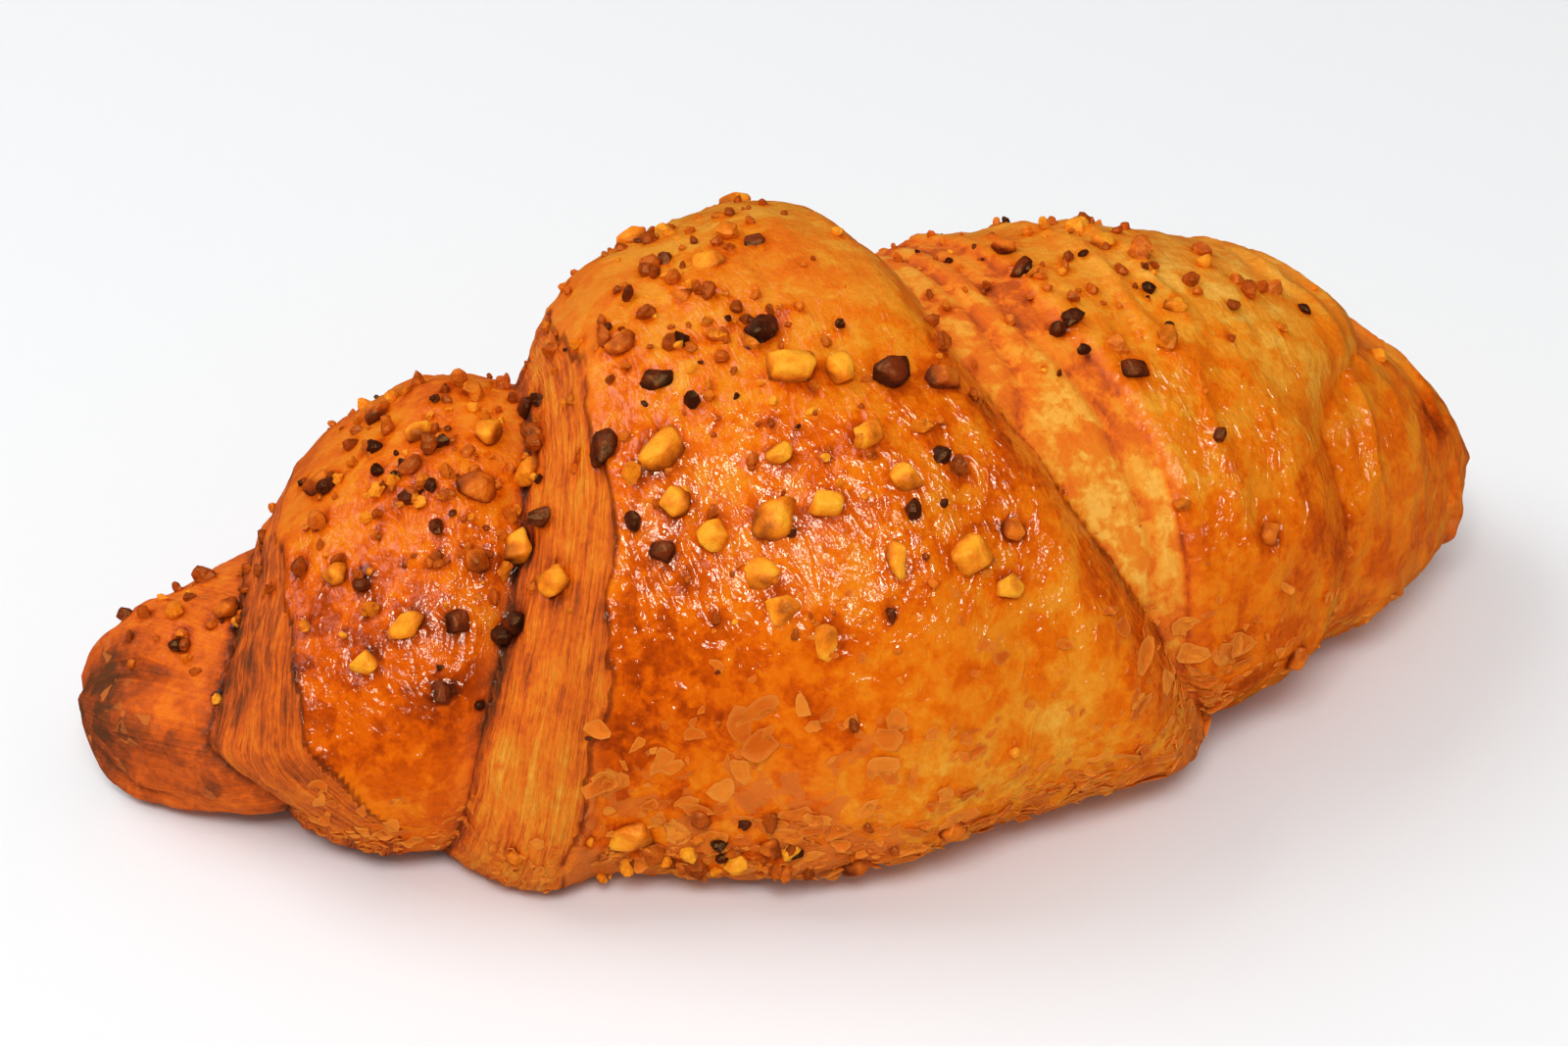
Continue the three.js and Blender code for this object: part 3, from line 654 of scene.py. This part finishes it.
# Wrinkles in the glaze, like crumpled foil: folds 2 to 4 mm apart with crinkles of under
# a millimetre on them, as heights in metres. Only the folds show in the crust below.
WRINKLE_DEPTH, CRINKLE_DEPTH = 0.0009, 0.00052
PLATE_STEP, LAYER_STEP, PORE_DEPTH = 0.0003, 0.0009, 0.0003
wrinkle_scale = add_node(tree, "Mapping", {"Scale": (42.0, 21.0, 1.0), "Rotation": (0, 0, 0.45)},
                         {"Vector": strip_map})
wrinkle_noise = add_node(tree, "TexNoise", {"Scale": 1.0, "Detail": 1.4, "Roughness": 0.5, "Distortion": 0.9},
                         {"Vector": wrinkle_scale})
wrinkle_fold = add_node(tree, "Math", {"operation": "MULTIPLY_ADD", 1: 2.0, 2: -1.0}, {0: wrinkle_noise})
wrinkle_ridge = add_node(tree, "Math", {"operation": "ABSOLUTE"}, {0: wrinkle_fold})
wrinkle_height = add_node(tree, "Math", {"operation": "MULTIPLY", 1: -WRINKLE_DEPTH}, {0: wrinkle_ridge})
wrinkle_part = add_node(tree, "Math", {"operation": "MULTIPLY"}, {0: wrinkle_height, 1: share["gloss"]})
height = add_node(tree, "Math", {"operation": "MULTIPLY", 1: 0.32}, {0: wrinkle_part})
crinkle_noise = add_node(tree, "TexNoise", {"Scale": 2.4, "Detail": 2.5, "Roughness": 0.6, "Distortion": 0.6},
                         {"Vector": wrinkle_scale})
glaze_height = add_node(tree, "Math", {"operation": "MULTIPLY_ADD", 1: CRINKLE_DEPTH},
                        {0: crinkle_noise, 2: wrinkle_part})
plate_height = add_node(tree, "Math", {"operation": "MULTIPLY", 1: PLATE_STEP}, {0: plate_sum})
plate_part = add_node(tree, "Math", {"operation": "MULTIPLY"}, {0: plate_height, 1: share["flaky"]})
layer_height = add_node(tree, "Math", {"operation": "MULTIPLY", 1: LAYER_STEP}, {0: layer_noise})
layer_part = add_node(tree, "Math", {"operation": "MULTIPLY"}, {0: layer_height, 1: share["flank"]})
pore_part = add_node(tree, "Math", {"operation": "MULTIPLY", 1: PORE_DEPTH}, {0: mottle_noise})
for part in (plate_part, layer_part, pore_part):
    height = add_node(tree, "Math", {"operation": "ADD"}, {0: height, 1: part})
bump = add_node(tree, "Bump", {"Strength": 1.0, "Distance": 1.0}, {"Height": height})
glaze_bump = add_node(tree, "Bump", {"Strength": 1.0, "Distance": 1.0}, {"Height": glaze_height})
roughness = add_node(tree, "MapRange", {"To Min": 0.62, "To Max": 0.30}, {"Value": share["gloss"]})
coat = add_node(tree, "Math", {"operation": "MULTIPLY", 1: 0.9}, {0: share["gloss"]})
surface = add_node(tree, "BsdfPrincipled", {
    "IOR": 1.45, "Specular IOR Level": 0.08, "Specular Tint": linear("#FFA050"),
    "Subsurface Weight": 0.10, "Subsurface Scale": 0.002,
    "Subsurface Radius": (1.0, 0.4, 0.12), "Coat Roughness": 0.06, "Coat IOR": 1.5,
}, {"Base Color": crust_mix.outputs[2], "Roughness": roughness, "Coat Weight": coat,
    "Normal": bump, "Coat Normal": glaze_bump})
tree.links.new(surface.outputs["BSDF"], output.inputs["Surface"])

wide_along = np.repeat(row_along[:, None], COLUMNS + 1, axis=1)
wide_angle = np.repeat(column_angle[None, :], ROWS - 1, axis=0)
wide_arc = arc_length(wide_along, wide_angle)
wide_depth = np.concatenate([surface_grid["depth"], surface_grid["depth"][:, -1:]], axis=1)
dough_mesh = grid_mesh(
    "baked_dough", (surface_points + to_frame) * MM, (poles[0] + to_frame) * MM,
    (poles[1] + to_frame) * MM,
    {"bake_and_shading": bake_and_shading, "gloss": gloss, "flank": surface_grid["flank"], "flaky": surface_grid["flaky"],
     "seam": surface_grid["seam"]},
    {"layers": np.stack([wide_depth, wide_arc], axis=-1) * UV_PER_MM,
     "strip": np.stack([wide_along, wide_arc], axis=-1) * UV_PER_MM})
add_piece("baked_dough", dough_mesh, crust, ["dough"])


# ---------------------------------------------------------------------------
# Flakes: shards of the outermost paper-thin layer that cracked as the dough rose.
# Each clings to the crust by its middle and curls up along one side.

FLAKE_SPOKES = 14
FLAKE_TEARS = 6
FLAKE_GAUGE = 0.10
FLAKE_MIDDLE_RISE, FLAKE_RING_RISE, FLAKE_EDGE_RISE, FLAKE_ROOT = 0.12, 0.14, 0.10, 0.30
# Strewn flakes: how many, range of place and of degrees, smallest and largest radius.
FLAKE_REGIONS = [
    (520, (-30, 40), (-36, 20), 0.5, 2.6), (110, (-60, -34), (-34, 6), 0.4, 1.7),
    (70, (36, 70), (-30, 12), 0.4, 1.4), (40, (-20, 30), (16, 50), 0.3, 0.9),
]
flake_rows = []
for count, along_range, (lowest, highest), smallest, largest in FLAKE_REGIONS:
    crowded = lowest + 0.3 * (highest - lowest)
    flake_rows.append(np.stack([
        random.uniform(*along_range, count), np.radians(random.triangular(lowest, crowded, highest, count)),
        smallest + (largest - smallest) * random.random(count) ** 2.2], axis=-1))
flake_along, flake_angle, flake_radius = np.concatenate(flake_rows).T
flake_radius = flake_radius * (1 - 0.65 * line(flake_along - 14, 12) * line(flake_angle, 0.3))
flake_count = len(flake_along)


def flake_rings(share_out, height):
    """One ring of each flake: its outline is cut by a few straight tears, laid on the crust and
    raised by the height in millimetres, with more lift on the side that curls up."""
    spoke = spokes[None, :]
    reach = flake_radius[:, None] * flake_outline * share_out
    stretch = 1 + 0.25 * flake_stretch[:, None]
    x = reach * np.cos(spoke) * stretch
    y = reach * np.sin(spoke) / stretch
    spin = flake_spin[:, None]
    ring_along = flake_along[:, None] + x * np.cos(spin) - y * np.sin(spin)
    girth = 0.55 * station_value(1, flake_along) + 0.45 * station_value(2, flake_along)
    ring_angle = flake_angle[:, None] + (x * np.sin(spin) + y * np.cos(spin)) / girth[:, None]
    ground = crust_surface(ring_along, ring_angle)
    curl = flake_curl[:, None] * ((1 + np.cos(spoke - flake_side[:, None])) / 2) ** 1.5 * share_out ** 2
    return ground["point"] + ground["normal"] * (height + curl)[..., None]


spokes = np.linspace(0, 2 * np.pi, FLAKE_SPOKES, endpoint=False)
tears = random.uniform(0, 2 * np.pi, (flake_count, FLAKE_TEARS, 1))
tear_depth = random.uniform(0.3, 0.75, (flake_count, FLAKE_TEARS, 1))
torn_at = np.min(tear_depth / np.maximum(np.cos(spokes - tears), 0.05), axis=1)
flake_outline = np.minimum(torn_at, 1.15) * random.uniform(0.85, 1.08, (flake_count, FLAKE_SPOKES))
flake_stretch = random.random(flake_count)
flake_spin = random.uniform(0, np.pi, flake_count)
flake_side = random.uniform(0, 2 * np.pi, flake_count)
flake_curl = (0.05 + 0.55 * random.random(flake_count) ** 2) * np.minimum(flake_radius, 1.3)
flake_middle = crust_surface(flake_along, flake_angle)
top_middle = flake_middle["point"] + FLAKE_MIDDLE_RISE * flake_middle["normal"]
bottom_middle = flake_middle["point"] - FLAKE_ROOT * flake_middle["normal"]
mid_ring, top_ring = flake_rings(0.6, FLAKE_RING_RISE), flake_rings(1.0, FLAKE_EDGE_RISE)
bottom_ring = flake_rings(1.0, FLAKE_EDGE_RISE - FLAKE_GAUGE)
flake_points = np.concatenate([
    top_middle[:, None], mid_ring, top_ring, bottom_ring, bottom_middle[:, None]], axis=1)
per_flake = flake_points.shape[1]
here = np.arange(FLAKE_SPOKES)
there = (here + 1) % FLAKE_SPOKES
ring_starts = [1 + k * FLAKE_SPOKES for k in range(3)]
fan_top = np.stack([0 * here, ring_starts[0] + there, ring_starts[0] + here], axis=-1)
fan_bottom = np.stack([0 * here + per_flake - 1, ring_starts[2] + here, ring_starts[2] + there], axis=-1)
bands = [np.stack([a + here, a + there, b + there, b + here], axis=-1)
         for a, b in zip(ring_starts[:-1], ring_starts[1:])]
first_corner = (np.arange(flake_count) * per_flake)[:, None, None]
flake_faces = []
for faces in [fan_top, fan_bottom] + bands:
    flake_faces += (faces[None] + first_corner).reshape(-1, faces.shape[1]).tolist()
flake_mesh = bpy.data.meshes.new("crust_flakes")
flake_mesh.from_pydata((flake_points.reshape(-1, 3) + to_frame) * MM, [], flake_faces)
rim = np.concatenate([[0.0], np.full(FLAKE_SPOKES, 0.55), np.ones(2 * FLAKE_SPOKES), [0.0]])
add_attributes(flake_mesh, {"rim": np.tile(rim, flake_count),
                            "shade": np.repeat(random.random(flake_count), per_flake)})
flake_mesh.update()

# Dry pastry film: matt, slightly see-through, with rims painted paler than the middle: a painted highlight
# for light on and through the thin edges.
film, tree, output = new_material("dry_pastry_film")
shade = add_node(tree, "Attribute", {"attribute_name": "shade"}).outputs["Fac"]
rim_share = add_node(tree, "Attribute", {"attribute_name": "rim"}).outputs["Fac"]
place = add_node(tree, "TexCoord").outputs["Object"]
film_noise = add_node(tree, "TexNoise", {"Scale": 700.0, "Detail": 3.0}, {"Vector": place})
film_shift = add_node(tree, "Math", {"operation": "MULTIPLY_ADD", 1: 0.5, 2: -0.25}, {0: film_noise})
film_sum = add_node(tree, "Math", {"operation": "ADD"}, {0: shade, 1: film_shift})
film_ramp = add_node(tree, "ValToRGB", {}, {"Fac": film_sum})
film_ramp.color_ramp.elements[0].color = linear("#C9580E")
film_ramp.color_ramp.elements[1].color = linear("#E08026")
film_ramp.color_ramp.elements.new(0.5).color = linear("#D86A18")
# Painted highlight: up to 30% of a paler tan on the outer part of each flake.
rim_highlight = add_node(tree, "MapRange", {"From Min": 0.6, "To Max": 0.3}, {"Value": rim_share})
film_mix = add_node(tree, "Mix", {"data_type": "RGBA", 7: linear("#EA9840")}, {0: rim_highlight, 6: film_ramp})
film_bump = add_node(tree, "Bump", {"Strength": 0.8, "Distance": 0.0005}, {"Height": film_noise})
surface = add_node(tree, "BsdfPrincipled", {
    "IOR": 1.45, "Roughness": 0.5, "Specular IOR Level": 0.12,
    "Specular Tint": linear("#FFB878"), "Subsurface Weight": 0.15,
    "Subsurface Scale": 0.001, "Subsurface Radius": (1.0, 0.5, 0.2),
}, {"Base Color": film_mix.outputs[2], "Normal": film_bump})
tree.links.new(surface.outputs["BSDF"], output.inputs["Surface"])
add_piece("crust_flakes", flake_mesh, film, [])


# ---------------------------------------------------------------------------
# The chopped hazelnuts: roasted kernels cut by blades into blunt angular bits, sprinkled
# on the egg wash and baked in. Cut faces are golden, rims toasted, a few nearly black.

NUT_ROWS, NUT_COLUMNS = 20, 30
BLUNT_EDGE, SHARP_EDGE = 30, 90


def ball_directions(rows, columns):
    """Unit directions on a ball: rings of latitude from the bottom up, poles left out."""
    polar = np.pi * np.arange(1, rows) / rows
    azimuth = 2 * np.pi * np.arange(columns) / columns
    p, a = np.meshgrid(polar, azimuth, indexing="ij")
    return np.stack([np.sin(p) * np.cos(a), np.sin(p) * np.sin(a), -np.cos(p)], axis=-1)


def solid_planes(node):
    """Outward face normals of a packed convex solid and how far each face is from its middle."""
    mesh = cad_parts[node].data
    points = np.zeros(len(mesh.vertices) * 3, dtype=np.float32)
    mesh.vertices.foreach_get("co", points)
    points = points.reshape(-1, 3).astype(float) / MM
    mesh.calc_loop_triangles()
    corners = np.zeros(len(mesh.loop_triangles) * 3, dtype=np.int32)
    mesh.loop_triangles.foreach_get("vertices", corners)
    a, b, c = (points[corners.reshape(-1, 3)[:, k]] for k in range(3))
    facing = np.cross(b - a, c - a)
    facing /= np.maximum(np.linalg.norm(facing, axis=1, keepdims=True), 1e-12)
    centre = (points.min(axis=0) + points.max(axis=0)) / 2
    return centre, facing, np.einsum("ij,ij->i", facing, a - centre)


def blunt_chunk(directions, facing, distance, sharpness):
    """Distance from the middle to the chunk's skin along each direction: the nearest of its
    faces, blended with its neighbours by a power mean so the edges come out blunt."""
    slope = np.maximum(directions @ facing.T, 1e-3)
    inverse = slope / np.maximum(distance, 0.2)
    return np.sum(inverse ** sharpness, axis=-1) ** (-1 / sharpness)


def nut_material(name, cut_face, rim, roast):
    """Roasted hazelnut: waxy, slightly translucent, cut faces one colour and rims another."""
    material, tree, output = new_material(name)
    toast_and_shade = add_node(tree, "Attribute", {"attribute_name": "toast_and_shade"}).outputs["Fac"]
    place = add_node(tree, "TexCoord").outputs["Object"]
    speckle = add_node(tree, "TexNoise", {"Scale": 800.0, "Detail": 4.0, "Roughness": 0.6}, {"Vector": place})
    shift = add_node(tree, "Math", {"operation": "MULTIPLY_ADD", 1: 1.0, 2: -0.48}, {0: speckle})
    amount = add_node(tree, "Math", {"operation": "ADD"}, {0: toast_and_shade, 1: shift})
    colour = add_node(tree, "ValToRGB", {}, {"Fac": amount})
    colour.color_ramp.elements[0].color = linear(cut_face)
    colour.color_ramp.elements[0].position = 0.15
    colour.color_ramp.elements[1].color = linear(roast)
    colour.color_ramp.elements.new(0.5).color = linear(rim)
    bump = add_node(tree, "Bump", {"Strength": 0.9, "Distance": 0.0004}, {"Height": speckle})
    surface = add_node(tree, "BsdfPrincipled", {
        "IOR": 1.46, "Roughness": 0.42, "Subsurface Weight": 0.15, "Subsurface Scale": 0.0012,
        "Subsurface Radius": (1.0, 0.6, 0.2), "Specular IOR Level": 0.22, "Specular Tint": linear("#FFC888"),
    }, {"Base Color": colour, "Normal": bump})
    tree.links.new(surface.outputs["BSDF"], output.inputs["Surface"])
    return material


nut_kinds = {
    "golden": ("golden_hazelnut", nut_material("golden_hazelnut", "#F7A324", "#E67A10", "#93400A")),
    "brown": ("toasted_hazelnut", nut_material("toasted_hazelnut", "#DE7014", "#B04A0A", "#5C2006")),
    "dark": ("dark_roasted_nut", nut_material("dark_roasted_nut", "#742A0C", "#441708", "#220A05")),
}
directions = ball_directions(NUT_ROWS, NUT_COLUMNS)
end_directions = np.array([[0, 0, -1.0], [0, 0, 1.0]])
for number, nut_name in enumerate(nut_names):
    slot_name, material = nut_kinds[nut_name.split("_")[1]]
    centre, facing, distance = solid_planes(nut_name)
    skin_out = blunt_chunk(directions, facing, distance, BLUNT_EDGE)
    sharp_out = blunt_chunk(directions, facing, distance, SHARP_EDGE)
    ends_out = blunt_chunk(end_directions, facing, distance, BLUNT_EDGE)
    chunk = directions * skin_out[..., None]
    bumps = 0.10 * rough_grain(chunk + 17 * number, 1.5, 131, 2)
    toasted_side = random.normal(size=3) * [1, 1, 0.4]
    toasted_side /= np.linalg.norm(toasted_side)
    # Darker on the side facing into the crust: painted shade on the lower sides, and the glaze line at the
    # base.
    toast_and_shade = (0.24 + 2.8 * (1 - skin_out / sharp_out) + 0.42 * ease(0.2, 0.9, directions @ toasted_side)
             + 0.45 * (1 - ease(-0.3, 0.5, directions @ seat_outward[number]))
             + 0.25 * rough_grain(chunk + 5 * number, 2.2, 141, 2))
    chunk = centre + chunk + directions * bumps[..., None]
    ends = centre + end_directions * ends_out[:, None]
    mesh = grid_mesh(nut_name + "_chunk", chunk * MM, ends[0] * MM, ends[1] * MM, {"toast_and_shade": toast_and_shade}, {})
    add_piece(nut_name + "_chunk", mesh, material, [nut_name])


# ---------------------------------------------------------------------------
# Nut crumbs: the smallest bits of the chopped topping, stuck in the glaze between
# the larger ones. Each kind is one strewn layer of blunt cut grains.

BIT_ROWS, BIT_COLUMNS = 5, 8
BIT_CUTS = 9
BIT_RISE = 0.18
bit_directions = ball_directions(BIT_ROWS, BIT_COLUMNS).reshape(-1, 3)
bit_directions = np.concatenate([bit_directions, end_directions])
for kind, (slot_name, material) in nut_kinds.items():
    chosen = np.nonzero(bit_kinds == kind)[0]
    cuts = random.normal(size=(len(chosen), BIT_CUTS, 3))
    cuts /= np.linalg.norm(cuts, axis=-1, keepdims=True)
    cut_depth = random.uniform(0.5, 1.0, (len(chosen), BIT_CUTS))
    slope = np.maximum(np.einsum("dk,nck->ndc", bit_directions, cuts), 1e-3)
    out = np.minimum(np.min(cut_depth[:, None] / slope, axis=-1), 1.2)
    stretch = random.uniform(0.75, 1.3, (len(chosen), 1, 3))
    grains = bit_directions * out[..., None] * stretch * (bit_sizes[chosen] / 2)[:, None, None]
    rise = BIT_RISE * bit_sizes[chosen][:, None]
    seats = bit_ground["point"][chosen] + bit_ground["normal"][chosen] * rise
    points = (grains + seats[:, None] + to_frame) * MM
    per_bit = len(bit_directions)
    index = np.arange((BIT_ROWS - 1) * BIT_COLUMNS).reshape(BIT_ROWS - 1, BIT_COLUMNS)
    onward = np.roll(index, -1, axis=1)
    quads = np.stack([index[:-1], onward[:-1], onward[1:], index[1:]], axis=-1).reshape(-1, 4)
    lower = np.stack([np.full(BIT_COLUMNS, per_bit - 2), onward[0], index[0]], axis=-1)
    upper = np.stack([np.full(BIT_COLUMNS, per_bit - 1), index[-1], onward[-1]], axis=-1)
    first_corner = (np.arange(len(chosen)) * per_bit)[:, None, None]
    bit_faces = []
    for faces in (quads, lower, upper):
        bit_faces += (faces[None] + first_corner).reshape(-1, faces.shape[1]).tolist()
    mesh = bpy.data.meshes.new(kind + "_crumbs")
    mesh.from_pydata(points.reshape(-1, 3), [], bit_faces)
    add_attributes(mesh, {"toast_and_shade": np.repeat(random.uniform(0.2, 0.75, len(chosen)), per_bit)})
    mesh.update()
    add_piece(kind + "_crumbs", mesh, material, [])
